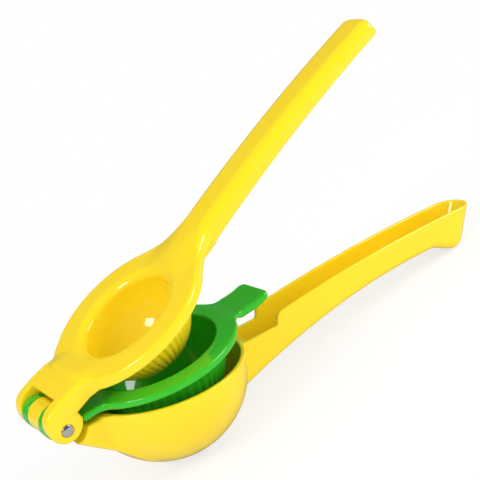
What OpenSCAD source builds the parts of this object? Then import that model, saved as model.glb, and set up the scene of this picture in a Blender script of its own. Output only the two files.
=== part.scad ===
// Hinged lemon squeezer: two cast bowls and a domed press, all on one hinge pin.
//
// Origin: centre of the small flat foot under the lemon bowl. +Z is up, +X runs
// along the handles and +Y along the hinge pin. The squeezer lies on its foot
// and on the end of its lower handle, so the rim of the bowl leans a little.
//
// Each casting is drawn closed, in the rim frame: the origin is the centre of
// the lemon bowl's rim, with +Z square to the rim. It is then opened about the
// hinge pin and laid on the ground.

/* [Lemon bowl] */
// Outside radius of the lemon bowl
lemon_r = 36; // [34:0.5:40]
// Thickness of the lemon bowl's wall
lemon_wall = 2; // [1.6:0.1:2.4]
// Radius of the flat foot under the bowl
foot_r = 5; // [4:0.5:6]
// Radius of the drain pattern in the lemon bowl
lemon_drain_r = 17; // [14:0.5:20]

/* [Lime bowl] */
// Inside radius of the lime bowl
lime_r = 27.3; // [26.6:0.1:28]
// Thickness of the lime bowl's wall
lime_wall = 1.6; // [1.4:0.1:2.2]
// Thickness of the flat flange round the lime bowl
flange_t = 3; // [2.4:0.1:3.6]
// Radius of the drain pattern in the lime bowl
lime_drain_r = 13; // [11:0.5:15]
// How far the thumb tab reaches past the flange
tab_reach = 18.6; // [14:0.2:22]
// Width of the thumb tab
tab_w = 20; // [19:0.5:24]
// Thickness of the thumb tab
tab_t = 3.4; // [2.8:0.1:3.8]

/* [Press] */
// Outside radius of the press dome
dome_r = 24.4; // [22:0.1:25]
// Thickness of the dome's wall
dome_wall = 3.4; // [1.8:0.1:4]
// Thickness of the press plate
plate_t = 4.3; // [3.6:0.1:5.2]
// How far the press plate stands back from the flange's edge
plate_inset = 0.1; // [0:0.1:1]

/* [Handles] */
// Outside width of both handles
handle_w = 18.1; // [16:0.1:19]
// Thickness of the handles' walls
handle_wall = 1.8; // [1.5:0.1:2.2]
// Length of the lower handle, from the bowl's rim to its end
lower_len = 144.5; // [138:0.5:156]
// Length of the upper handle, from the plate's rim to its end
upper_len = 132; // [126:0.5:138]
// Height of the lower handle's edge above the rim, at its highest
lower_edge_h = 7.7; // [6.5:0.1:9]
// Depth of the lower handle, at its slimmest
lower_depth = 13; // [11:0.2:15]
// Depth of the upper handle, at its slimmest
upper_depth = 8.2; // [7:0.1:10]
// Radius of the upper handle's long top corners
crown_corner = 5; // [3:0.5:6]
// Gap between the two handles when the squeezer is closed
handle_gap = 1.6; // [1:0.1:3]

/* [Hinge] */
// Distance of the hinge pin from the outside of the bowl
hinge_reach = 13.6; // [13:0.1:16]
// Height of the hinge pin above the bowl's rim
hinge_h = 2.5; // [2:0.1:3]
// Length of the hinge across all its knuckles
hinge_w = 32; // [30:0.5:36]
// Radius of the hinge pin
pin_r = 2.4; // [2:0.1:2.6]
// Width of the middle knuckle, on the lemon bowl
mid_knuckle_w = 10.4; // [9:0.2:12]
// Width of each of the lime bowl's knuckles
side_knuckle_w = 5.2; // [4.6:0.2:5.6]
// Radius of the knuckles
knuckle_r = 6.6; // [6:0.1:7]

/* [Clearances] */
// Gap between the lemon bowl's rim and the flange, closed
rim_gap = 0.4; // [0.3:0.1:0.8]
// Gap between the flange and the press plate, closed
plate_gap = 1.3; // [0.8:0.1:1.6]
// Side gap between neighbouring knuckles
knuckle_gap = 0.15; // [0.1:0.05:0.3]
// Running clearance of the pin in the knuckles that turn on it
pin_fit = 0.06; // [0.03:0.01:0.1]
// Gap round a knuckle, in the pocket that it turns in
pocket_gap = 0.35; // [0.3:0.05:0.6]

/* [Pose] */
// How far the lime bowl is lifted, in degrees
lime_open = 6.6; // [0:0.1:60]
// How much further the press is lifted, in degrees
press_lead = 19; // [0:0.1:90]

/* [Hidden] */

fine = 96;              // sides of a large circle, for viewing
small = 48;             // sides of a small circle
far = 300;              // longer than the whole squeezer

// Heights of the closed stack, above the rim of the lemon bowl
flange_z = rim_gap;
flange_top = flange_z + flange_t;
plate_z = flange_top + plate_gap;
plate_top = plate_z + plate_t;
plate_r = lemon_r - plate_inset;
bead_r = lemon_wall / 2;          // rounded rim of the lemon bowl
lemon_cz = -bead_r;               // height of the lemon bowl's centre

// Hinge
pin_x = -(lemon_r + hinge_reach);
pin_z = hinge_h;
knuckle_off = [-0.4, 1.6];        // the knuckles' round, from the pin
knuckle_reach = norm(knuckle_off) + knuckle_r;
pocket_r = knuckle_reach + pocket_gap;
side_in = mid_knuckle_w / 2 + knuckle_gap;
side_out = side_in + side_knuckle_w;
ear_in = side_out + knuckle_gap;
ear_out = hinge_w / 2;
ear_low_r = 5.4;                  // lower round of each ear, about the pin
ear_low_off = [0.3, 0.3];
ear_top_r = 7.4;                  // upper round of each ear
ear_top_off = [1.8, 3.2];
ear_swing_r = 7.7;                // the ear's lower corner turns inside this
ear_pocket_r = ear_swing_r + 0.3;
arm_top = -0.3;                   // the arm's top is just under the rim
pin_dome = 0.5;                   // crowned ends of the pin

// Lower handle
edge_top_at = 112;                // where the edge is highest, past the bowl
belly_top_at = 102;               // where the belly is straight, past the bowl
handle_edge_x = lemon_r + edge_top_at;
handle_belly_x = lemon_r + belly_top_at;
edge_bow_r = 820;                 // bow of the lower handle's edge
belly_bow_r = 333;                // bow of the belly
floor_t = 2;                      // thickness of the handle's floor
web_t = 3.6;                      // metal between the bowl and the handle's hollow
lower_end = lemon_r + lower_len;
end_lean = 9.5;                   // the end face leans in by this much
heel_drop = 5.3;                  // the heel under the handle's end
heel_reach = 33.5;                // where the heel begins, before the end
heel_x = lower_end - heel_reach;
heel_run = 16;                    // length of its slope
belly_h = lower_edge_h - lower_depth;
heel_h = belly_h - heel_drop;     // lowest point of the lower handle
heel_tip = lower_end - end_lean - 4;
lower_mid = lower_end - end_lean / 2;
end_corner = 8.4;                 // corners of its end, seen from above

// Upper handle
crown_top_at = 106;               // where the crown is highest, past the bowl
crown_x = lemon_r + crown_top_at;
crown_bow_r = 893;
crown_h = lower_edge_h + handle_gap + upper_depth;
upper_end = plate_r + upper_len;
tip_lean = 2.1;                   // the end face leans out by this much
upper_tip = upper_end + tip_lean * lower_edge_h / upper_depth;
tip_corner = 8.8;                 // corners of its end, seen from above
shoulder_r = 9;                   // round between the plate and the handle
skirt_x = lemon_r + 0.5;          // the skirts start outside the flange
neck_x = lemon_r - 8;             // where the neck leaves the plate
neck_z = flange_top + 0.6;

// Thumb tab and the notch that it drops into
tab_top = flange_top - 1.7;
tab_low = tab_top - tab_t;
tab_start = lemon_r + 0.4;
tab_bend = lemon_r + 10;
tab_tip = lemon_r + tab_reach;
tab_rise = 0.9;
tab_fillet = 4;
notch_z = tab_low - 1;
notch_end = tab_tip + 0.7;

// Resting attitude: the foot and the heel both touch the ground
foot_h = sqrt(pow(lemon_r, 2) - pow(foot_r, 2));
heel_dz = lemon_cz - heel_h;
lean = asin(foot_h / norm([heel_tip, heel_dz])) - atan2(heel_dz, heel_tip);

// Drains
slot_w = 2.6;
lemon_slots = 8;
lime_slots = 8;
slot_start = foot_r + 2.4;
lime_slot_start = 4.4;

// Bowed outlines of the handles, as heights over the distance along them
function bow(x, top_x, r) = pow(x - top_x, 2) / (2 * r);
function smooth(t) = t <= 0 ? 0 : t >= 1 ? 1 : t * t * (3 - 2 * t);
function edge_h(x) = lower_edge_h - bow(x, handle_edge_x, edge_bow_r);
function crown(x) = crown_h - bow(x, crown_x, crown_bow_r);
function belly(x) = belly_h - bow(min(x, handle_belly_x), handle_belly_x, belly_bow_r)
                    - heel_drop * smooth((x - heel_x) / heel_run);
function tab_lift(x) = tab_rise * smooth((x - tab_bend) / (tab_tip - tab_bend));
function skirt(x) = max(edge_h(x) + handle_gap, tab_top + tab_lift(min(x, tab_tip)) + 0.4);

// Places a casting: laid down on the ground, then opened about the pin
module laid() {
    translate([-lemon_cz * sin(lean), 0, foot_h - lemon_cz * cos(lean)])
        rotate([0, lean, 0]) children();
}

module opened(angle) {
    laid() translate([pin_x, 0, pin_z]) rotate([0, -angle, 0])
        translate([-pin_x, 0, -pin_z]) children();
}

// A side view drawn in X and Z, given a width across
module side_view(width, middle = 0) {
    translate([0, middle, 0]) rotate([90, 0, 0])
        linear_extrude(height = width, center = true) children();
}

// The same on both sides, from one distance across to another
module both_sides(from, to) {
    for (side = [-1, 1])
        side_view(to - from, side * (from + to) / 2) children();
}

// A round through the hinge, about the pin
module round_at_pin(r, width) {
    translate([pin_x, 0, pin_z]) rotate([90, 0, 0])
        cylinder(r = r, h = width, center = true, $fn = small);
}

module disc_at_pin(offset, r) {
    translate([pin_x + offset[0], pin_z + offset[1]]) circle(r = r, $fn = small);
}

// Radial slots that drain a bowl, cut straight down round the origin
module drain(count, from, to, height) {
    for (i = [0 : count - 1]) rotate([0, 0, (i + 0.5) * 360 / count]) {
        translate([from, -slot_w / 2, -height]) cube([to - from, slot_w, 2 * height]);
        for (x = [from, to])
            translate([x, 0, -height]) cylinder(d = slot_w, h = 2 * height, $fn = 32);
    }
}

// Everything past a handle's end, which has two round upright corners. The end
// leans by some distance over some height, and is in place at height 0. The
// rounds stand a hair outside the sides, so that they meet them at an angle.
module past_end(end, width, corner, lean_by, over) {
    half = width / 2 + 0.05;
    translate([end, 0, 0]) rotate([0, atan2(lean_by, over), 0])
        linear_extrude(height = far / 3, center = true) difference() {
            translate([-corner, -width]) square([far / 6, 2 * width]);
            translate([-2 * corner, -half + corner])
                square([2 * corner, 2 * (half - corner)]);
            for (side = [-1, 1]) translate([-corner, side * (half - corner)])
                circle(r = corner, $fn = small);
        }
}

// Lemon bowl, its handle and the middle knuckle, in the rim frame

module lemon_skin() {
    rotate_extrude($fn = fine) translate([0, lemon_cz]) {
        intersection() {
            circle(r = lemon_r, $fn = fine);
            translate([0, -lemon_r]) square([lemon_r, lemon_r]);
        }
        translate([lemon_r - bead_r, 0]) circle(r = bead_r, $fn = 32);
    }
}

module lemon_hollow() {
    translate([0, 0, lemon_cz]) {
        sphere(r = lemon_r - lemon_wall, $fn = fine);
        cylinder(r = lemon_r - lemon_wall, h = far, $fn = fine);
    }
}

// The lower handle's belly and heel, seen from the side and raised by some height
function belly_line(first, tip, up) = concat(
    [for (x = [first : 4 : tip - 1]) [x, belly(x) + up]],
    [[tip, heel_h + up], [tip + 2, heel_h + up + 0.4], [tip + 4, heel_h + up + 1.6]]);

module lower_handle() {
    first = lemon_r - 6;
    past = lower_end + 5;
    difference() {
        side_view(handle_w) polygon(concat(belly_line(first, heel_tip, 0),
            [[past, heel_h + 3]], [for (x = [past : -6 : first]) [x, edge_h(x)]]));
        past_end(lower_mid, handle_w, end_corner, end_lean, lower_edge_h - heel_h);
    }
}

module lower_handle_hollow() {
    hollow_w = handle_w - 2 * handle_wall;
    first = lemon_r - 6;
    past = lower_end + 5;
    difference() {
        side_view(hollow_w) polygon(concat(belly_line(first, heel_tip - floor_t, floor_t),
            [[past, heel_h + floor_t + 3], [past, lower_depth], [first, lower_depth]]));
        past_end(lower_mid - floor_t, hollow_w, end_corner - handle_wall, end_lean,
                 lower_edge_h - heel_h);
        translate([0, 0, lemon_cz]) sphere(r = lemon_r + web_t, $fn = fine);
    }
}

module tab_notch() {
    side_view(far) polygon([[lemon_r - 10, notch_z], [notch_end - 1, notch_z],
        [notch_end - 0.3, notch_z + 0.5], [notch_end, notch_z + 1.4],
        [notch_end + 0.4, edge_h(notch_end) - 1], [notch_end + 1.8, 20], [lemon_r - 10, 20]]);
}

module lower_arm() {
    side_view(2 * (ear_out - 1)) polygon([[-lemon_r + 8, arm_top], [pin_x - 1, arm_top],
        [pin_x - 1, -hinge_h - 0.5], [pin_x + 8.6, pin_z - 12.8],
        [-lemon_r + 2, pin_z - 18], [-lemon_r + 8, pin_z - 24]]);
    side_view(mid_knuckle_w) disc_at_pin(knuckle_off, knuckle_r);
}

module lemon_casting() {
    difference() {
        union() {
            lemon_skin();
            difference() {
                lower_handle();
                tab_notch();
            }
            difference() {
                lower_arm();
                both_sides(mid_knuckle_w / 2, ear_in) disc_at_pin([0, 0], pocket_r);
                both_sides(ear_in - 0.01, far) disc_at_pin([0, 0], ear_pocket_r);
            }
        }
        lemon_hollow();
        lower_handle_hollow();
        round_at_pin(pin_r + pin_fit, hinge_w);
    }
}

module lemon_bowl_and_handle() color("gold") {
    difference() {
        laid() lemon_casting();
        drain(lemon_slots, slot_start, lemon_drain_r, lemon_wall * 5);
        translate([-far, -far, -2 * far]) cube([2 * far, 2 * far, 2 * far]);
    }
}

// Lime bowl, its flange, thumb tab and two knuckles, in the rim frame

module lime_body() {
    translate([0, 0, flange_z]) {
        cylinder(r = lemon_r, h = flange_t, $fn = fine);
        intersection() {
            sphere(r = lime_r + lime_wall, $fn = fine);
            translate([0, 0, -lime_r - 2 * lime_wall])
                cylinder(r = lemon_r, h = lime_r + 2 * lime_wall + 1, $fn = fine);
        }
    }
}

module lime_hollow() {
    translate([0, 0, flange_z]) {
        sphere(r = lime_r, $fn = fine);
        cylinder(r = lime_r, h = far, $fn = fine);
    }
}

module tab_outline() {
    corner = 3;
    half = tab_w / 2;
    translate([lemon_r - 6, -half]) square([tab_tip - lemon_r + 6 - corner, tab_w]);
    translate([tab_tip - 2 * corner, -half + corner]) square([2 * corner, tab_w - 2 * corner]);
    for (side = [-1, 1]) translate([tab_tip - corner, side * (half - corner)])
        circle(r = corner, $fn = 32);
    root_fillet(half, lemon_r, tab_fillet);
}

// Concave rounds where a bar of some half width leaves a disc, seen from above.
// They cut a hair into both, so that they meet them at an angle.
module root_fillet(half, disc_r, r) {
    hair = 0.05;
    cy = half + r - hair;
    cx = sqrt(pow(disc_r + r - hair, 2) - pow(cy, 2));
    for (side = [-1, 1]) difference() {
        polygon([[0, 0], [cx, 0], [cx, side * cy]]);
        translate([cx, side * cy]) circle(r = r, $fn = fine);
    }
}

module thumb_tab() {
    intersection() {
        translate([0, 0, -far / 2]) linear_extrude(height = far) tab_outline();
        side_view(far) polygon(concat(
            [[lemon_r - 6, flange_z], [tab_start, flange_z], [tab_start, tab_low]],
            [for (x = [tab_bend : 1.5 : tab_tip]) [x, tab_low + 1.3 * tab_lift(x)]],
            [[tab_tip + 1, tab_top + tab_rise - 1.2], [tab_tip, tab_top + tab_rise - 0.2]],
            [for (x = [tab_tip - 1 : -1.5 : tab_bend]) [x, tab_top + tab_lift(x)]],
            [[lemon_r - 6, tab_top]]));
    }
}

module lime_neck() {
    neck_end = pin_x + knuckle_off[0];
    translate([neck_end, -side_out, flange_z])
        cube([-neck_end - lime_r - lime_wall - 1, 2 * side_out, flange_t]);
    translate([pin_x + 4, -14, flange_z])
        cube([-pin_x - 4 - lime_r - lime_wall - 1, 28, flange_t]);
}

module lime_bowl() color("limegreen") {
    opened(lime_open) difference() {
        union() {
            lime_body();
            thumb_tab();
            difference() {
                lime_neck();
                side_view(mid_knuckle_w + 2 * knuckle_gap) disc_at_pin([0, 0], pocket_r);
                both_sides(side_out, far) disc_at_pin([0, 0], ear_pocket_r);
            }
            both_sides(side_in, side_out) disc_at_pin(knuckle_off, knuckle_r);
        }
        lime_hollow();
        round_at_pin(pin_r + pin_fit, hinge_w);
        translate([0, 0, flange_z - lime_r])
            drain(lime_slots, lime_slot_start, lime_drain_r, lime_wall * 4);
    }
}

// Press plate, its dome, ears and handle, in the rim frame

module press_body() {
    translate([0, 0, plate_z]) {
        cylinder(r = plate_r, h = plate_t, $fn = fine);
        intersection() {
            sphere(r = dome_r, $fn = fine);
            translate([0, 0, -2 * dome_r]) cylinder(r = plate_r, h = 2 * dome_r + 1, $fn = fine);
        }
    }
}

module press_hollow() {
    mouth_r = dome_r - dome_wall;
    lip = 4;
    translate([0, 0, plate_z]) {
        sphere(r = mouth_r, $fn = fine);
        rotate_extrude($fn = fine) difference() {
            square([mouth_r + lip, plate_t + 1]);
            translate([mouth_r + lip, plate_t - lip]) circle(r = lip, $fn = small);
            translate([mouth_r, -1]) square([lip + 1, plate_t - lip + 1]);
        }
    }
}

module press_neck() {
    ear_top_z = pin_z + ear_top_off[1] + ear_top_r;
    side_view(hinge_w) polygon([[-neck_x + 1, plate_z], [-neck_x + 1, plate_top],
        [-neck_x - 0.5, plate_top + 0.9], [-neck_x - 3, ear_top_z - 1.1],
        [pin_x + 13, ear_top_z - 0.5], [pin_x + 6, ear_top_z - 0.1],
        [pin_x + ear_top_off[0], ear_top_z],
        [pin_x + ear_top_off[0], neck_z], [-neck_x - 3, neck_z]]);
    side_view(hinge_w) difference() {
        union() {
            disc_at_pin(ear_low_off, ear_low_r);
            disc_at_pin(ear_top_off, ear_top_r);
        }
        difference() {
            translate([pin_x, neck_z - far]) square([far, far]);
            disc_at_pin([0, 0], ear_swing_r);
        }
    }
}

module knuckle_slot() {
    width = 2 * ear_in;
    side_view(width) union() {
        disc_at_pin([0, 0], pocket_r);
        translate([pin_x + 5.5 - far, -far / 2]) square([far, far]);
    }
}

// A bar with an arched crown and two round corners along it, set in from the
// upper handle's outside
module crown_bar(top_in = 0, side_in = 0) {
    half = handle_w / 2 - side_in;
    bow_r = crown_bow_r - top_in;
    corner = crown_corner - side_in;
    before = asin((crown_x - lemon_r + 10) / crown_bow_r);
    after = asin((upper_end + 8 - crown_x) / crown_bow_r);
    translate([crown_x, 0, crown_h - crown_bow_r]) rotate([90, 0, 0])
        rotate([0, 0, 90 - after]) rotate_extrude(angle = before + after, $fn = 1440) {
            translate([bow_r - 40, -half]) square([40 - corner, 2 * half]);
            translate([bow_r - 2 * corner, -half + corner])
                square([2 * corner, 2 * (half - corner)]);
            for (side = [-1, 1]) translate([bow_r - corner, side * (half - corner)])
                circle(r = corner, $fn = small);
        }
}

module upper_handle() {
    past = upper_end + 6;
    difference() {
        intersection() {
            crown_bar();
            side_view(far) polygon(concat([[neck_x, plate_z], [skirt_x, plate_z]],
                [for (x = [skirt_x : 4 : past - 1]) [x, skirt(x)]],
                [[past, skirt(past)], [past, 60], [neck_x + 3.5, 60],
                 [neck_x + 3.5, crown(neck_x) + 0.2], [neck_x, plate_top - 0.2]]));
        }
        past_end(upper_tip, handle_w, tip_corner, -tip_lean, upper_depth);
    }
    translate([0, 0, plate_z]) linear_extrude(height = plate_t)
        root_fillet(handle_w / 2, plate_r, shoulder_r);
}

module upper_handle_hollow() {
    difference() {
        intersection() {
            crown_bar(floor_t, handle_wall);
            translate([skirt_x + floor_t, -handle_w, -far / 2]) cube([far, 2 * handle_w, far]);
        }
        past_end(upper_tip - floor_t, handle_w - 2 * handle_wall, tip_corner - handle_wall,
                 -tip_lean, upper_depth);
    }
}

module press_and_handle() color("goldenrod") {
    opened(lime_open + press_lead) difference() {
        union() {
            press_body();
            press_neck();
            upper_handle();
        }
        press_hollow();
        knuckle_slot();
        upper_handle_hollow();
        round_at_pin(pin_r, hinge_w + 2);
    }
}

// Hinge pin, pressed into the ears of the press casting

module hinge_pin() color("silver") {
    opened(lime_open + press_lead) translate([pin_x, 0, pin_z]) rotate([90, 0, 0]) {
        cylinder(r = pin_r, h = hinge_w, center = true, $fn = small);
        crown_r = (pow(pin_r, 2) + pow(pin_dome, 2)) / (2 * pin_dome);
        for (turn = [0, 180]) rotate([turn, 0, 0]) intersection() {
            translate([0, 0, hinge_w / 2 + pin_dome - crown_r]) sphere(r = crown_r, $fn = fine);
            translate([0, 0, hinge_w / 2 - 1]) cylinder(r = pin_r, h = 2, $fn = small);
        }
    }
}

lemon_bowl_and_handle();
lime_bowl();
press_and_handle();
hinge_pin();
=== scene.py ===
"""Looks of a hinged lemon squeezer: three enamelled castings on one steel pin.

Lengths are in millimetres until a mesh is made, and in metres from then on. Each casting
is shaped closed, in the rim frame: the origin is the centre of the lemon bowl's rim, +Z is
square to the rim, +X runs along the handles and +Y along the pin. It is then opened about
the pin and laid on the ground, as its solid is.
"""

import math

import bpy
import numpy as np
from mathutils import Matrix, Vector


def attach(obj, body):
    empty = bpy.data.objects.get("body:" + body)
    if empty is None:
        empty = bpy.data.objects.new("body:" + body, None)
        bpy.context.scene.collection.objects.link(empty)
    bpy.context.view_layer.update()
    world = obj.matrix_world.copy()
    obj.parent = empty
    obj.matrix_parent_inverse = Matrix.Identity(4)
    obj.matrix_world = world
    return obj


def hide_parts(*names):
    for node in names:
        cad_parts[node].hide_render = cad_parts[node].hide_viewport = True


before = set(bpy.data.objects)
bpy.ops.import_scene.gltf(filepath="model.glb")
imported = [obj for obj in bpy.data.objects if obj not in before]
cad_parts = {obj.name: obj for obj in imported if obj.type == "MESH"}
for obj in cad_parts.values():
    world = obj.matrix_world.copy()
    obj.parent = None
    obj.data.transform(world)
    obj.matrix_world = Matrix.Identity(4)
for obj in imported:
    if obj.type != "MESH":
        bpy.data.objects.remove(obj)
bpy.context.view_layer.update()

MM = 0.001

# Sizes of the solids that the castings stand for
LEMON_R, LEMON_WALL, LEMON_CZ = 36.0, 2.0, -1.0
FLANGE_Z, FLANGE_T = 0.4, 3.0
FLANGE_TOP = FLANGE_Z + FLANGE_T
LIME_R, LIME_VALLEY_R, LIME_RIDGE_R = 27.3, 28.3, 28.95
PLATE_Z, PLATE_T, PLATE_R = 4.7, 4.3, 35.9
PLATE_TOP = PLATE_Z + PLATE_T
RECESS_R, DOME_VALLEY_R, DOME_RIDGE_R = 20.9, 23.8, 24.4
HANDLE_HALF, HANDLE_WALL, FLOOR_T = 9.05, 1.8, 2.0
PIN_X, PIN_Z, PIN_R = -49.6, 2.5, 2.4
PIN_HALF, PIN_DOME, BORE_R = 16.0, 0.5, 2.46
KNUCKLE_X, KNUCKLE_Z, KNUCKLE_R = PIN_X - 0.4, PIN_Z + 1.6, 6.6
MID_HALF, SIDE_IN, SIDE_OUT, EAR_IN, EAR_OUT = 5.2, 5.35, 10.55, 10.7, 16.0
POCKET_R, EAR_POCKET_R = 8.6, 8.0

# Details of the lower casting. Handles and tab start at ROOT_X, inside the rims. The notch is
# for the tab, and the web is the metal between the bowl and the handle's hollow
ROOT_X = 20
HEEL_BACK, HANDLE_WEB = 5.2, 3.6
NOTCH_X, NOTCH_Z, NOTCH_LEAN = 54.8, -2.7, 0.12
ARM_HALF, ARM_IN, ARM_SLOPE = 15, -20, math.atan2(12.5, 16.6)

# Drain slots: where they start and end from the middle, half their width, and their top
LEMON_DRAIN, LEMON_DRAIN_TOP = (7.4, 17, 1.3), 14
LIME_DRAIN, LIME_DRAIN_TOP = (4.4, 13, 1.3), -12

# Details of the lime bowl. The thumb tab bends up over TAB_RUN, from TAB_BEND past the rim
LIME_NECK_HALF, LIME_NECK_IN = 14, -20
TAB_HALF, TAB_OUT, TAB_BEND, TAB_RUN, TAB_RISE = 10, 18.6, 10, 8.6, 0.9
TAB_TOP = 1.7
RIM_ROOM = 0.35

# Details of the press. Its plate's sides lean in by DRAFT
PRESS_HANDLE_HALF, PRESS_END = HANDLE_HALF + 0.4, 1.2
PRESS_NECK_IN, PRESS_NECK_LOW = -26, 4
DRAFT = 0.14

# Resting attitude and opening angles
LEAN = math.radians(9.015)
FOOT_H = 35.651
LIME_OPEN, PRESS_OPEN = 6.6, 25.6


def laid(points):
    """Rim frame to the row frame, for points or directions given as rows."""
    c, s = math.cos(LEAN), math.sin(LEAN)
    return points @ np.array([[c, 0, -s], [0, 1, 0], [s, 0, c]])


LAID_AT = np.array([-LEMON_CZ * math.sin(LEAN), 0, FOOT_H - LEMON_CZ * math.cos(LEAN)])
PIN_AT = np.array([PIN_X, 0, PIN_Z])


def opened(points, degrees):
    """Turns points of the rim frame about the pin, which lifts the handles' side."""
    c, s = math.cos(math.radians(degrees)), math.sin(math.radians(degrees))
    return (points - PIN_AT) @ np.array([[c, 0, s], [0, 1, 0], [-s, 0, c]]) + PIN_AT


# Distance fields: below zero inside. Each one takes arrays of x, y and z


def joined(a, b, r):
    """Both shapes, with a fillet of radius r where they meet."""
    return np.maximum(r, np.minimum(a, b)) - np.hypot(np.maximum(r - a, 0), np.maximum(r - b, 0))


def shared(a, b, r):
    """What is in both shapes, with a round of radius r on the edge."""
    return np.minimum(-r, np.maximum(a, b)) + np.hypot(np.maximum(r + a, 0), np.maximum(r + b, 0))


def less(a, b, r):
    """The first shape without the second, with a round of radius r on the edge."""
    return shared(a, -b, r)


def half_ball(x, y, z, centre_z, r):
    """A half ball that is carried straight up from its widest place."""
    return np.sqrt(x * x + y * y + np.minimum(z - centre_z, 0) ** 2) - r


def slab(t, low, high):
    return np.abs(t - (low + high) / 2) - (high - low) / 2


def disc(x, z, at_x, at_z, r):
    return np.hypot(x - at_x, z - at_z) - r


def round_pin(x, z, r):
    return disc(x, z, PIN_X, PIN_Z, r)


def knuckle(x, z, across):
    """A hinge knuckle between the side faces that the field across gives."""
    return shared(disc(x, z, KNUCKLE_X, KNUCKLE_Z, KNUCKLE_R), across, 0.5)


def above(x, z, curve):
    """Distance above a curve z = curve(x)."""
    slope = curve(x + 0.5) - curve(x - 0.5)
    return (z - curve(x)) / np.sqrt(1 + slope * slope)


def bow(x, top_x, r):
    """Drop below the top of a shallow arch of radius r."""
    return (x - top_x) ** 2 / (2 * r)


def smooth(t):
    """Runs from 0 to 1 with level ends, while t runs from 0 to 1."""
    t = np.clip(t, 0, 1)
    return t * t * (3 - 2 * t)


def soft_rise(t):
    """About t above zero and about 0 below it, with a soft bend between."""
    return (t + np.sqrt(t * t + 0.4)) / 2


# Long lines of the handles, as heights over the distance along them
LOWER_END, UPPER_END = 180.5, 167.9
END_LEAN = 9.5 / 18.3
TIP_LEAN = 2.1 / 8.2


def edge_h(x):
    """Top edge of the lower handle."""
    return 7.7 - bow(x, LEMON_R + 112, 820)


def belly(x):
    """Underside of the lower handle, with the step down to its heel."""
    top_x = LEMON_R + 102
    return -5.3 - bow(np.minimum(x, top_x), top_x, 333) - 5.3 * smooth((x - 147) / 16)


def crown(x):
    """Top of the upper handle."""
    return 17.5 - bow(x, LEMON_R + 106, 893)


def tab_lift(x):
    """How far the thumb tab bends up."""
    return TAB_RISE * smooth((x - LEMON_R - TAB_BEND) / TAB_RUN)


def neck_top(x):
    """Top of the press plate and of the neck that rises from it to the hinge."""
    return PLATE_TOP + 3.2 * smooth((-22.5 - x) / 10.5) + 0.9 * smooth((-30 - x) / 12)


def skirt(x):
    """Lower edge of the upper handle: clear of the lower handle and of the thumb tab."""
    return np.maximum(edge_h(x) + 1.6, 2.1 + tab_lift(np.minimum(x, LEMON_R + TAB_OUT)))


def slots(x, y, first, last, half):
    """Eight drain slots that run out from the middle, seen from above."""
    turn = np.arctan2(y, x)
    turn = (turn % (math.pi / 4)) - math.pi / 8
    far = np.hypot(x, y)
    along, across = far * np.cos(turn), far * np.sin(turn)
    return np.hypot(np.maximum(np.maximum(first - along, along - last), 0), across) - half


def lemon_field(x, y, z):
    """Lemon bowl, hollow handle, hinge arm and middle knuckle."""
    side = np.abs(y)
    bowl = shared(half_ball(x, y, z, LEMON_CZ, LEMON_R), z, 0.6)
    # Handle: an open trough with a heel, notched for the thumb tab
    end = (x - (LOWER_END - HEEL_BACK + END_LEAN * z)) * math.cos(math.atan(END_LEAN))
    notch = shared(NOTCH_Z - z, x - NOTCH_X - NOTCH_LEAN * (z - NOTCH_Z), 1.6)
    top = shared(above(x, z, edge_h), -notch, 3)
    plan = shared(side - HANDLE_HALF, end, 8.4)
    trough = shared(shared(plan, -above(x, z, belly), 3), top, 0.55)
    # The trough's inside stops short of the bowl
    web = LEMON_R + HANDLE_WEB - np.sqrt(x * x + y * y + (z - LEMON_CZ) ** 2)
    inner = shared(shared(side - HANDLE_HALF + HANDLE_WALL, end + FLOOR_T, 6.6),
                   -above(x, z, belly) + FLOOR_T, 2)
    inner = np.maximum(shared(inner, web, 1.5), -x)
    body = joined(bowl, np.maximum(trough, ROOT_X - x), 1.4)
    # Hinge arm, with pockets for the other castings' knuckles and ears
    under = -(z + 3) * math.cos(ARM_SLOPE) - (x - PIN_X + 1) * math.sin(ARM_SLOPE)
    arm = shared(shared(side - ARM_HALF, np.maximum(under, x - ARM_IN), 2.5), z + 0.3, 0.8)
    arm = shared(arm, PIN_X - 1 - x, 1)
    arm = less(arm, np.maximum(round_pin(x, z, POCKET_R), MID_HALF + 0.01 - side), 0.4)
    arm = less(arm, np.maximum(round_pin(x, z, EAR_POCKET_R), EAR_IN - side), 0.4)
    # Nothing of the arm's fillet stands above the rim, where the flange comes down
    body = np.maximum(joined(body, arm, 3), np.minimum(z - 0.05, ROOT_X - x))
    body = joined(body, knuckle(x, z, side - MID_HALF), 0.6)
    body = less(body, half_ball(x, y, z, LEMON_CZ, LEMON_R - LEMON_WALL), 0.6)
    body = less(body, inner, 0.55)
    # Foot, drains and bore, in the row frame
    row_x = x * math.cos(LEAN) + z * math.sin(LEAN) + LAID_AT[0]
    row_z = z * math.cos(LEAN) - x * math.sin(LEAN) + LAID_AT[2]
    body = shared(body, -row_z, 0.4)
    drain = np.maximum(slots(row_x, y, *LEMON_DRAIN), row_z - LEMON_DRAIN_TOP)
    body = less(body, drain, 0.3)
    return less(body, round_pin(x, z, BORE_R), 0.2)


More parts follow.
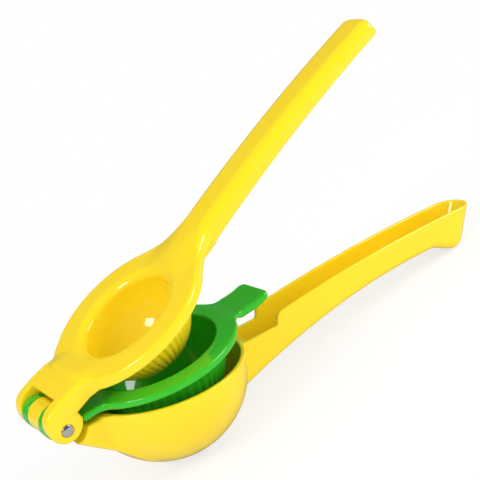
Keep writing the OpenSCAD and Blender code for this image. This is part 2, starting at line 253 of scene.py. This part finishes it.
def lime_field(x, y, z):
    """Lime bowl, flange, thumb tab, neck and two knuckles."""
    side = np.abs(y)
    wide = np.hypot(x, y)
    neck = shared(side - LIME_NECK_HALF, np.maximum(PIN_X + 4 - x, x - LIME_NECK_IN), 1)
    tab_plan = shared(side - TAB_HALF, x - LEMON_R - TAB_OUT, 3)
    plan = joined(joined(wide - LEMON_R, neck, 3), np.maximum(tab_plan, ROOT_X - x), 5)
    # The flange's top slopes down into the thumb tab, which bends up at its tip
    on_tab = smooth((x - 31) / 8) * (1 - smooth((side - 11) / 9))
    top = FLANGE_TOP + on_tab * (TAB_TOP + tab_lift(x) - FLANGE_TOP)
    # Past the rim its underside drops, so that the tab is thicker than the flange
    past_rim = smooth((wide - 36.3) / 4) * smooth((x - 28) / 4)
    low = FLANGE_Z + past_rim * (-2.1 + 1.3 * tab_lift(x))
    flange = shared(shared(plan, z - top, 0.8 + 0.3 * on_tab), low - z, 0.8)
    bowl = np.maximum(half_ball(x, y, z, FLANGE_Z, LIME_VALLEY_R), z - FLANGE_TOP + 0.5)
    body = joined(flange, bowl, 1.2)
    # Room for the lemon bowl's rim
    rim_room = shared(shared(z - 0.34, 33 - wide, 0.3), wide - LEMON_R - RIM_ROOM, 0.3)
    body = less(body, rim_room, 0.1)
    lip = 0.1 + 0.6 * smooth((z - FLANGE_TOP + 2) / 1.2)
    body = less(body, half_ball(x, y, z, FLANGE_Z, LIME_R), lip)
    # Knuckles, and the pockets between and beside them
    body = less(body, np.maximum(round_pin(x, z, POCKET_R), side - SIDE_IN), 0.4)
    body = less(body, np.maximum(round_pin(x, z, EAR_POCKET_R), SIDE_OUT - side), 0.4)
    body = joined(body, knuckle(x, z, slab(side, SIDE_IN, SIDE_OUT)), 0.6)
    drain = np.maximum(slots(x, y, *LIME_DRAIN), z - LIME_DRAIN_TOP)
    body = less(body, drain, 0.3)
    return less(body, round_pin(x, z, BORE_R), 0.2)


def press_field(x, y, z):
    """Press plate, dome, neck with two ears, and the arched upper handle."""
    side = np.abs(y)
    wide = np.hypot(x, y)
    plan = joined(wide - PLATE_R, np.maximum(side - PRESS_HANDLE_HALF, -x), 14)
    plan = shared(plan, x - UPPER_END - PRESS_END, 7.5)
    # The handle's crown fades into the plate towards both sides, and the neck rises from it
    along = smooth((x - 34) / 16)
    at_middle = 1 - smooth((side - 2) / 16)
    level = PLATE_TOP + soft_rise(crown(x) - PLATE_TOP) * (along + (1 - along) * at_middle)
    level = level + (neck_top(x) - PLATE_TOP) * (1 - 0.45 * smooth((side - 9) / 8))
    tip = (x - (UPPER_END + 2 - TIP_LEAN * z)) * math.cos(math.atan(TIP_LEAN))
    outer = shared(plan + DRAFT * (z - PLATE_Z) * (1 - along), shared(z - level, tip, 2.2),
                   1.3 + 3.4 * along)
    skirts = np.maximum(np.maximum(36.5 - x, -above(x, z, skirt)), side - HANDLE_HALF - 1)
    body = shared(outer, np.minimum(np.maximum(PLATE_Z - z, x - 50), skirts), 0.7)
    dome = np.maximum(half_ball(x, y, z, PLATE_Z, DOME_VALLEY_R), z - PLATE_TOP + 0.5)
    body = joined(body, dome, 1)
    # Neck and ears
    over = above(x, z, neck_top) + 1.8 * (1 - smooth((-28 - x) / 7))
    neck = np.maximum(np.maximum(PRESS_NECK_LOW - z, x - PRESS_NECK_IN), PIN_X + 1.8 - x)
    neck = shared(neck, over, 0.8)
    ear = joined(disc(x, z, PIN_X + 0.3, PIN_Z + 0.3, 5.4),
                 disc(x, z, PIN_X + 1.8, PIN_Z + 3.2, 7.4), 3)
    swept = np.maximum(np.maximum(PIN_X - x, z - 4.1), -round_pin(x, z, 7.7))
    ear = np.maximum(ear, -swept)
    hinge = shared(np.minimum(neck, ear), side - EAR_OUT, 1.6)
    body = joined(body, hinge, 2.5)
    # Hollow underside of the handle
    inner = shared(side - HANDLE_HALF + HANDLE_WALL, above(x, z, crown) + FLOOR_T, 4.5)
    inner = shared(inner, np.maximum(tip + FLOOR_T, x - UPPER_END + 2.4), 5)
    inner = shared(inner, 38.5 - x, 1)
    body = less(body, inner, 0.5)
    lip = 0.2 + 4.4 * smooth((z - PLATE_TOP + 5.2) / 3.4)
    body = less(body, half_ball(x, y, z, PLATE_Z, RECESS_R), lip)
    # Slot for the knuckles, and the bore
    slot = np.maximum(side - EAR_IN, np.minimum(round_pin(x, z, POCKET_R), x - PIN_X - 5.5))
    body = less(body, slot, 0.4)
    return less(body, round_pin(x, z, BORE_R), 0.25)


# Sampling runs in slices to keep arrays small, and slopes are taken over a short step
SLICES, SLOPE_STEP, LONGEST_MOVE = 24, 0.03, 0.5


def field_skin(field, low, high, step):
    """Corners and four-sided faces of a closed skin round a field, and its normals."""
    axes = [np.arange(a, b + step, step) for a, b in zip(low, high)]
    value = np.concatenate([field(*np.meshgrid(part, axes[1], axes[2], indexing="ij"))
                            for part in np.array_split(axes[0], SLICES)])
    inside = value < 0
    cells = np.array(value.shape) - 1
    total, places, faces = np.zeros(cells.prod()), np.zeros((cells.prod(), 3)), []
    # A face crosses each grid edge that the skin cuts, and joins the four cells round it
    for axis in range(3):
        a = [slice(None)] * 3
        b = [slice(None)] * 3
        a[axis], b[axis] = slice(0, -1), slice(1, None)
        a, b = tuple(a), tuple(b)
        at = np.argwhere(inside[a] != inside[b])
        here, there = value[a][tuple(at.T)], value[b][tuple(at.T)]
        crossing = at.astype(float)
        crossing[:, axis] += here / (here - there)
        ring = []
        for u, v in ((0, 0), (-1, 0), (-1, -1), (0, -1)):
            cell = at.copy()
            cell[:, (axis + 1) % 3] += u
            cell[:, (axis + 2) % 3] += v
            ring.append(np.ravel_multi_index(cell.T, cells))
        for cell in ring:
            total += np.bincount(cell, minlength=len(total))
            for k in range(3):
                places[:, k] += np.bincount(cell, crossing[:, k], len(total))
        ring = np.stack(ring, 1)
        leaves = here < 0
        faces.append(np.where(leaves[:, None], ring, ring[:, ::-1]))
    used = np.flatnonzero(total)
    number = np.zeros(len(total), int)
    number[used] = np.arange(len(used))
    faces = number[np.concatenate(faces)]
    points = np.array(low) + step * places[used] / total[used, None]
    # Corners are evened out along the skin, and put back on it
    for _ in range(3):
        points = onto(field, points)
        points += 0.5 * tangent_part(field, points, faces)
    for _ in range(2):
        points = onto(field, points)
    slope = gradient(field, points)
    return points, faces, slope / np.linalg.norm(slope, axis=1)[:, None]


def gradient(field, points):
    """Slope of a field at points, one row for each."""
    out = np.empty_like(points)
    for k in range(3):
        step = np.zeros(3)
        step[k] = SLOPE_STEP
        rise = field(*(points + step).T) - field(*(points - step).T)
        out[:, k] = rise / (2 * SLOPE_STEP)
    return out


def onto(field, points):
    """Moves points along the slope of a field until they are on its skin."""
    slope = gradient(field, points)
    move = field(*points.T) / np.maximum((slope ** 2).sum(1), 0.05)
    return points - np.clip(move, -LONGEST_MOVE, LONGEST_MOVE)[:, None] * slope


def tangent_part(field, points, faces):
    """How far each corner is from the middle of its neighbours, along the skin."""
    sums, count = np.zeros_like(points), np.zeros(len(points))
    for k in (1, 3):
        near = np.roll(faces, k, 1)
        for j in range(3):
            sums[:, j] += np.bincount(faces.ravel(), points[near.ravel(), j], len(points))
        count += np.bincount(faces.ravel(), minlength=len(points))
    slope = gradient(field, points)
    slope /= np.linalg.norm(slope, axis=1)[:, None]
    move = sums / count[:, None] - points
    return move - (move * slope).sum(1)[:, None] * slope


def placed(name, data):
    """A new object in the scene."""
    piece = bpy.data.objects.new(name, data)
    bpy.context.scene.collection.objects.link(piece)
    return piece


def casting(name, field, low, high, step, degrees):
    """Mesh object of a casting, opened about the pin and laid on the ground."""
    points, faces, normals = field_skin(field, low, high, step)
    points = laid(opened(points, degrees)) + LAID_AT
    normals = laid(opened(normals + PIN_AT, degrees) - PIN_AT)
    mesh = bpy.data.meshes.new(name)
    mesh.from_pydata((points * MM).tolist(), [], faces.tolist())
    mesh.shade_smooth()
    mesh.normals_split_custom_set_from_vertices(normals.tolist())
    return placed(name, mesh)


# Each casting with the box that it is sampled in and the sampling step
lemon = casting("lemon_casting", lemon_field, (-59, -38, -40), (182, 38, 14), 0.7, 0)
lime = casting("lime_casting", lime_field, (-59, -38, -30), (57, 38, 13), 0.56, LIME_OPEN)
press = casting("press_casting", press_field, (-59, -38, -22), (174, 38, 20), 0.7, PRESS_OPEN)


def feed(tree, socket, value):
    """Links another node's output to a socket, or sets the socket to a plain value."""
    if isinstance(value, bpy.types.NodeSocket):
        tree.links.new(value, socket)
    else:
        socket.default_value = value


def add(tree, kind, inputs, **settings):
    """A new node with its settings, and with its inputs fed by name or number."""
    node = tree.nodes.new(kind)
    for label, value in settings.items():
        setattr(node, label, value)
    for label, value in inputs.items():
        feed(tree, node.inputs[label], value)
    return node


# Points along and across the strip that one rib is bent from, and where copies are merged
RIB_ALONG, RIB_ACROSS, MERGE_M = 34, 9, 0.00002
RIBS, RIB_WALL, LAST_ANGLE = 48, 0.5, 91


def fluted_band():
    """Nodes for a ring of rounded ribs round a ball: one rib, repeated round the upright."""
    tree = bpy.data.node_groups.new("fluted_band", "GeometryNodeTree")
    sockets = {}
    for label, kind in (("Ribs", "Int"), ("Valley Radius", "Float"), ("Rib Height", "Float"),
                        ("First Angle", "Float"), ("Last Angle", "Float"), ("Run Out", "Float"),
                        ("Material", "Material")):
        socket = tree.interface.new_socket(label, in_out="INPUT", socket_type="NodeSocket" + kind)
        sockets[label] = socket.identifier
    tree.interface.new_socket("Geometry", in_out="OUTPUT", socket_type="NodeSocketGeometry")
    given = tree.nodes.new("NodeGroupInput").outputs

    def worked(operation, *values):
        return add(tree, "ShaderNodeMath", dict(enumerate(values)), operation=operation).outputs[0]

    def times(a, b):
        return worked("MULTIPLY", a, b)

    def ranged(value, low, high, to_low, to_high, kind="LINEAR"):
        return add(tree, "ShaderNodeMapRange", {
            "Value": value, "From Min": low, "From Max": high, "To Min": to_low,
            "To Max": to_high}, interpolation_type=kind).outputs["Result"]

    def combined(x, y, z):
        return add(tree, "ShaderNodeCombineXYZ", {0: x, 1: y, 2: z}).outputs[0]

    # A strip one unit square: across it is one rib, along it is the way down the ball
    grid = add(tree, "GeometryNodeMeshGrid", {"Vertices X": RIB_ACROSS, "Vertices Y": RIB_ALONG})
    spot = tree.nodes.new("GeometryNodeInputPosition").outputs[0]
    across, along, _ = add(tree, "ShaderNodeSeparateXYZ", {0: spot}).outputs
    step = worked("DIVIDE", math.tau, given["Ribs"])
    turn = times(across, step)
    polar = ranged(along, -0.5, 0.5, given["First Angle"], given["Last Angle"])
    fade = ranged(along, -0.5, worked("ADD", given["Run Out"], -0.5), 0, 1, "SMOOTHSTEP")
    crest = worked("COSINE", times(across, math.pi))
    height = times(times(crest, fade), given["Rib Height"])
    radius = worked("ADD", given["Valley Radius"], height)
    out = times(radius, worked("SINE", polar))
    low = times(radius, times(worked("COSINE", polar), -1))
    bent = combined(times(out, worked("COSINE", turn)), times(out, worked("SINE", turn)), low)
    rib = add(tree, "GeometryNodeSetPosition", {"Geometry": grid.outputs["Mesh"],
                                                "Position": bent})
    # One copy for each rib, merged into one band
    points = add(tree, "GeometryNodePoints", {"Count": given["Ribs"]})
    angle = times(tree.nodes.new("GeometryNodeInputIndex").outputs[0], step)
    copies = add(tree, "GeometryNodeInstanceOnPoints", {
        "Points": points.outputs[0], "Instance": rib.outputs[0],
        "Rotation": combined(0, 0, angle)})
    real = add(tree, "GeometryNodeRealizeInstances", {0: copies.outputs[0]})
    merged = add(tree, "GeometryNodeMergeByDistance", {"Geometry": real.outputs[0],
                                                       "Distance": MERGE_M})
    soft = add(tree, "GeometryNodeSetShadeSmooth", {"Geometry": merged.outputs[0]})
    finish = add(tree, "GeometryNodeSetMaterial", {"Geometry": soft.outputs[0],
                                                   "Material": given["Material"]})
    add(tree, "NodeGroupOutput", {0: finish.outputs[0]})
    return tree, sockets


def flutes(name, band, material, valley, ridge, centre_z, first, run_out, degrees, turn):
    """A closed ring of flutes under a casting, as a plain mesh."""
    tree, sockets = band
    piece = placed(name, bpy.data.meshes.new(name))
    ribs = piece.modifiers.new("ribs", "NODES")
    ribs.node_group = tree
    for label, value in (("Ribs", RIBS), ("Valley Radius", valley * MM),
                         ("Rib Height", (ridge - valley) * MM),
                         ("First Angle", math.radians(first)),
                         ("Last Angle", math.radians(LAST_ANGLE)),
                         ("Run Out", run_out), ("Material", material)):
        ribs[sockets[label]] = value
    wall = piece.modifiers.new("wall", "SOLIDIFY")
    wall.thickness = RIB_WALL * MM
    wall.offset = -1
    evaluated = piece.evaluated_get(bpy.context.evaluated_depsgraph_get())
    mesh = bpy.data.meshes.new_from_object(evaluated)
    piece.modifiers.clear()
    piece.data = mesh
    mesh.name = name
    points = np.empty(len(mesh.vertices) * 3)
    mesh.vertices.foreach_get("co", points)
    points = points.reshape(-1, 3) / MM
    c, s = math.cos(math.radians(turn)), math.sin(math.radians(turn))
    points = points @ np.array([[c, s, 0], [-s, c, 0], [0, 0, 1]]) + (0, 0, centre_z)
    points = (laid(opened(points, degrees)) + LAID_AT) * MM
    mesh.vertices.foreach_set("co", points.ravel())
    mesh.update()
    return piece


def hinge_pin():
    """A turned pin with crowned ends and a fine bevel, along the hinge."""
    bevel, sides = 0.35, 64
    profile = [(0, PIN_HALF + PIN_DOME)]
    for t in np.linspace(0.15, 1, 8):
        profile.append((t * (PIN_R - bevel), PIN_HALF + PIN_DOME - 0.4 * t * t))
    for t in np.linspace(0.2, 1, 6) * math.pi / 2:
        profile.append((PIN_R - bevel + bevel * math.sin(t),
                        PIN_HALF + 0.1 - bevel * (1 - math.cos(t))))
    profile = profile + [(r, -h) for r, h in reversed(profile)]
    points, faces = [], []
    for r, h in profile:
        for k in range(sides if r else 1):
            t = math.tau * k / sides
            points.append((PIN_X + r * math.cos(t), h, PIN_Z + r * math.sin(t)))
    rings = [range(1 + i * sides, 1 + (i + 1) * sides) for i in range(len(profile) - 2)]
    last = len(points) - 1
    for k in range(sides):
        n = (k + 1) % sides
        faces.append((0, rings[0][k], rings[0][n]))
        faces.append((last, rings[-1][n], rings[-1][k]))
        for a, b in zip(rings, rings[1:]):
            faces.append((a[k], b[k], b[n], a[n]))
    mesh = bpy.data.meshes.new("hinge_pin_turned")
    points = (laid(opened(np.array(points), PRESS_OPEN)) + LAID_AT) * MM
    mesh.from_pydata(points.tolist(), [], faces)
    mesh.shade_smooth()
    return placed("hinge_pin_turned", mesh)


# Finishes. A colour mix has its two colours at inputs 6 and 7 and the result at output 2


def shader(name, base, roughness, **more):
    """A material with its node tree and its surface node."""
    material = bpy.data.materials.new(name)
    material.use_nodes = True
    tree = material.node_tree
    surface = tree.nodes["Principled BSDF"]
    surface.inputs["Base Color"].default_value = (*base, 1)
    surface.inputs["Roughness"].default_value = roughness
    for label, value in more.items():
        surface.inputs[label.replace("_", " ")].default_value = value
    return material, tree, surface


def noise(tree, scale, detail):
    """Noise in the piece's own coordinates."""
    place = tree.nodes.new("ShaderNodeTexCoord").outputs["Object"]
    return add(tree, "ShaderNodeTexNoise", {"Vector": place, "Scale": scale,
                                            "Detail": detail}).outputs["Fac"]


def roughness_between(tree, surface, value, low, high):
    gloss = add(tree, "ShaderNodeMapRange", {"Value": value, "To Min": low, "To Max": high})
    feed(tree, surface.inputs["Roughness"], gloss.outputs["Result"])


def enamel(name, base, thin):
    """Glossy enamel: a little uneven in colour and gloss, with a faint orange peel."""
    material, tree, surface = shader(name, base, 0.3, Coat_Weight=0.9, Coat_Roughness=0.04,
                                     Coat_IOR=1.6, Specular_IOR_Level=0.08)
    cloudy = noise(tree, 38, 3)
    spread = add(tree, "ShaderNodeMapRange", {"Value": cloudy, "From Min": 0.35,
                                              "From Max": 0.75})
    colours = add(tree, "ShaderNodeMix", {"Factor": spread.outputs["Result"], 6: (*base, 1),
                                          7: (*thin, 1)}, data_type="RGBA")
    feed(tree, surface.inputs["Base Color"], colours.outputs[2])
    roughness_between(tree, surface, cloudy, 0.26, 0.36)
    peel = add(tree, "ShaderNodeBump", {"Strength": 0.008, "Distance": 0.0005,
                                        "Height": noise(tree, 700, 2)})
    feed(tree, surface.inputs["Normal"], peel.outputs["Normal"])
    return material


def polished_steel():
    """Bright steel with fine turning marks."""
    material, tree, surface = shader("pin_steel", (0.78, 0.78, 0.79), 0.14, Metallic=1)
    roughness_between(tree, surface, noise(tree, 900, 4), 0.08, 0.2)
    return material


yellow = enamel("yellow_enamel", (0.95, 0.69, 0.012), (0.96, 0.71, 0.015))
green = enamel("green_enamel", (0.025, 0.47, 0.014), (0.033, 0.5, 0.017))


def dressed(piece, material, body, node):
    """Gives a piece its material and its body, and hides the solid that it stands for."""
    piece.data.materials.append(material)
    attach(piece, body)
    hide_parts(node)


# The first angle is from straight down, in degrees, and the last number turns the whole ring
band = fluted_band()
lime_flutes = flutes("lime_bowl_flutes", band, green, LIME_VALLEY_R, LIME_RIDGE_R, FLANGE_Z,
                     33, 0.25, LIME_OPEN, 1.7)
press_flutes = flutes("press_dome_flutes", band, yellow, DOME_VALLEY_R, DOME_RIDGE_R, PLATE_Z,
                      14, 0.3, PRESS_OPEN, 1.5)
for piece, body, slot in ((lime_flutes, "lime_bowl_body", "green_enamel"),
                          (press_flutes, "press_body", "yellow_enamel")):
    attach(piece, body)

dressed(hinge_pin(), polished_steel(), "press_body", "hinge_pin")
dressed(lemon, yellow, "lemon_bowl_body", "lemon_bowl_and_handle")
dressed(lime, green, "lime_bowl_body", "lime_bowl")
dressed(press, yellow, "press_body", "press_and_handle")

# Camera: its angles, its distance from the rim's centre and how far that is off its axis
CAMERA_AZ, CAMERA_EL, CAMERA_ROLL = (math.radians(v) for v in (30.03, 18.32, 14.67))
CAMERA_FAR, CAMERA_X, CAMERA_Y = 430.07, -32.95, -53.22
FOCAL_PIXELS, WIDE_PIXELS, SENSOR = 1050, 480, 36


def camera_frame():
    """Right, up and forward of the camera, and its place, in the rim frame."""
    across = np.array([math.cos(CAMERA_AZ), -math.sin(CAMERA_AZ), 0])
    level = np.array([math.sin(CAMERA_AZ), math.cos(CAMERA_AZ), 0])
    z = np.array([0, 0, 1.0])
    forward = math.cos(CAMERA_EL) * level - math.sin(CAMERA_EL) * z
    rise = math.sin(CAMERA_EL) * level + math.cos(CAMERA_EL) * z
    right = math.cos(CAMERA_ROLL) * across - math.sin(CAMERA_ROLL) * rise
    up = math.sin(CAMERA_ROLL) * across + math.cos(CAMERA_ROLL) * rise
    return right, up, forward, -(CAMERA_X * right + CAMERA_Y * up + CAMERA_FAR * forward)


right, up, forward, station = camera_frame()
camera_data = bpy.data.cameras.new("camera")
camera_data.lens = FOCAL_PIXELS * SENSOR / WIDE_PIXELS
camera_data.sensor_width = SENSOR
camera_data.clip_start = 0.02
camera = placed("camera", camera_data)
matrix = Matrix(laid(np.array([right, up, -forward])).T.tolist()).to_4x4()
matrix.translation = Vector((laid(station[None])[0] + LAID_AT) * MM)
camera.matrix_world = matrix
bpy.context.scene.camera = camera

# Floor: the camera sees it white away from the squeezer, and shaded under it. Its tone is
# lower in reflections, which keeps the enamel from looking pale
FLOOR_HALF, FLOOR_LOW = 3, -0.0002
FLOOR_TONE, FLOOR_MIRRORED = (0.9, 0.9, 0.9), (0.42, 0.42, 0.42)
floor_mesh = bpy.data.meshes.new("floor")
floor_mesh.from_pydata([(-FLOOR_HALF, -FLOOR_HALF, 0), (FLOOR_HALF, -FLOOR_HALF, 0),
                        (FLOOR_HALF, FLOOR_HALF, 0), (-FLOOR_HALF, FLOOR_HALF, 0)],
                       [], [(0, 1, 2, 3)])
floor = placed("floor", floor_mesh)
floor.location.z = FLOOR_LOW
floor_white, tree, surface = shader("floor_white", FLOOR_TONE, 0.8, Specular_IOR_Level=0.1)
glow = tree.nodes.new("ShaderNodeEmission")
here = tree.nodes.new("ShaderNodeTexCoord").outputs["Object"]
away = add(tree, "ShaderNodeVectorMath", {0: here, 1: (0.06, 0, 0)}, operation="DISTANCE")
fade = add(tree, "ShaderNodeMapRange", {"Value": away.outputs["Value"], "From Min": 0.1,
                                        "From Max": 0.32, "To Min": 0.72, "To Max": 1})
path = tree.nodes.new("ShaderNodeLightPath").outputs
part = add(tree, "ShaderNodeMath", {0: path["Is Camera Ray"], 1: fade.outputs["Result"]},
           operation="MULTIPLY")
mix = add(tree, "ShaderNodeMixShader", {0: part.outputs[0], 1: surface.outputs[0],
                                        2: glow.outputs[0]})
tone = add(tree, "ShaderNodeMix", {"Factor": path["Is Glossy Ray"], 6: (*FLOOR_TONE, 1),
                                   7: (*FLOOR_MIRRORED, 1)}, data_type="RGBA")
feed(tree, surface.inputs["Base Color"], tone.outputs[2])
feed(tree, tree.nodes["Material Output"].inputs[0], mix.outputs[0])
floor.data.materials.append(floor_white)

# Backdrop: white to the camera, a little less as light, and dark in reflections
world = bpy.data.worlds.new("studio")
bpy.context.scene.world = world
world.use_nodes = True
tree = world.node_tree
ground = tree.nodes["Background"]
ground.inputs["Color"].default_value = (1, 1, 1, 1)
path = tree.nodes.new("ShaderNodeLightPath").outputs
dim = add(tree, "ShaderNodeMapRange", {"Value": path["Is Glossy Ray"], "To Min": 0.79,
                                       "To Max": 0.1})
level = add(tree, "ShaderNodeMapRange", {"Value": path["Is Camera Ray"],
                                         "To Min": dim.outputs["Result"], "To Max": 1})
feed(tree, ground.inputs["Strength"], level.outputs["Result"])


def softbox(name, at, aim, size, power, mirrored=True):
    """A rectangular lamp. Without mirrored it isn't seen in reflections."""
    data = bpy.data.lights.new(name, "AREA")
    data.shape = "RECTANGLE"
    data.size, data.size_y = size
    data.energy = power
    lamp = placed(name, data)
    lamp.location = at
    lamp.visible_glossy = mirrored
    lamp.rotation_euler = (Vector(aim) - Vector(at)).to_track_quat("-Z", "Y").to_euler()


softbox("left_softbox", (-0.70, -0.25, 0.72), (0, 0, 0.05), (0.36, 0.3), 3.4)
softbox("right_softbox", (0.80, -0.42, 0.47), (0, 0, 0.05), (0.5, 0.32), 3.8)
softbox("front_softbox", (-0.25, -1.2, 0.30), (0.03, 0, 0.05), (1.3, 0.8), 2, mirrored=False)

bpy.context.scene.view_settings.view_transform = "Standard"
